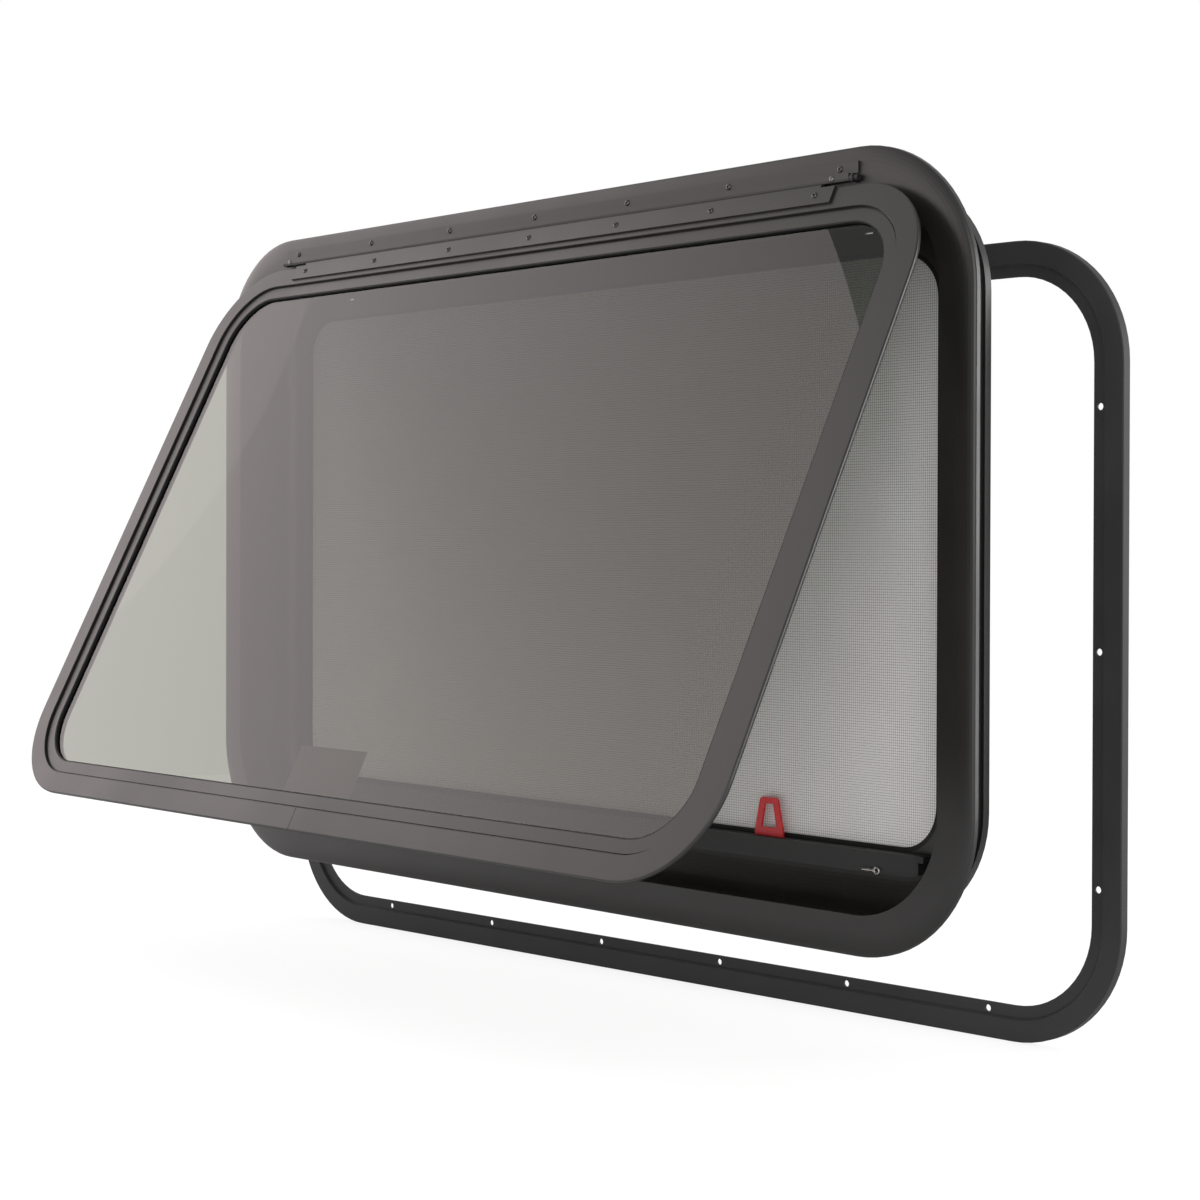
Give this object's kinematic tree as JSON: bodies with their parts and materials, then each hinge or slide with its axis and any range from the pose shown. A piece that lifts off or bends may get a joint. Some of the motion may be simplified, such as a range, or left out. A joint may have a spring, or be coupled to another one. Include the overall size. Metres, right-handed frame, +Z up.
{
  "type": "caravan window",
  "caption": "Top-hung caravan window with charcoal flanged frame, tinted glass sash held open, insect screen and a loose clamp ring behind.",
  "frame": {"origin": "on the flat back of the outer flange, in the middle of its bottom side", "axes": "+X across the window, +Y through the wall into the caravan, +Z up"},
  "size_m": [0.8401, 0.3119, 0.5558],
  "materials": {
    "frame_coat": "satin charcoal powder coat on extruded aluminium",
    "ring_coat": "satin black powder coat on rolled aluminium",
    "bar_coat": "satin black powder coat on an aluminium bar",
    "tinted_glass": "grey tinted toughened glass, polished",
    "black_rubber": "matt black extruded rubber",
    "black_plastic": "matt black moulded nylon",
    "screen_mesh": "grey coated glass-fibre insect mesh",
    "bright_steel": "bright turned stainless steel",
    "dark_rivet": "charcoal painted blind rivet heads",
    "red_plastic": "bright red moulded plastic",
    "label_film": "bare grey translucent film"
  },
  "bodies": {
    "window_frame": {"outer_frame": "frame_coat", "screen_frame": "black_plastic", "screen_spline": "black_rubber", "screen_mesh": "screen_mesh", "latch_bar": "bar_coat", "bar_end_left": "black_plastic", "bar_end_right": "black_plastic", "latch_pin": "bright_steel", "pin_clip": "bright_steel", "pull_loop": "red_plastic", "frame_hinge_leaf": "frame_coat", "frame_rivets": "dark_rivet", "hinge_cap_left": "black_plastic", "hinge_cap_right": "black_plastic", "hinge_screw_left": "bright_steel", "hinge_screw_right": "bright_steel", "clamp_ring": "ring_coat"},
    "sash": {"sash_frame": "frame_coat", "glass_pane": "tinted_glass", "glazing_gasket": "black_rubber", "glazing_bead": "frame_coat", "weather_seal": "black_rubber", "sash_hinge_leaf": "frame_coat", "sash_rivets": "dark_rivet", "glass_label": "label_film"}
  },
  "joints": [
    {"name": "sash_hinge", "type": "hinge", "parent": "window_frame", "child": "sash", "pos_m": [0, -0.0095, 0.471], "axis": [-1, 0, 0], "range_deg": [-27, 33]}
  ]
}
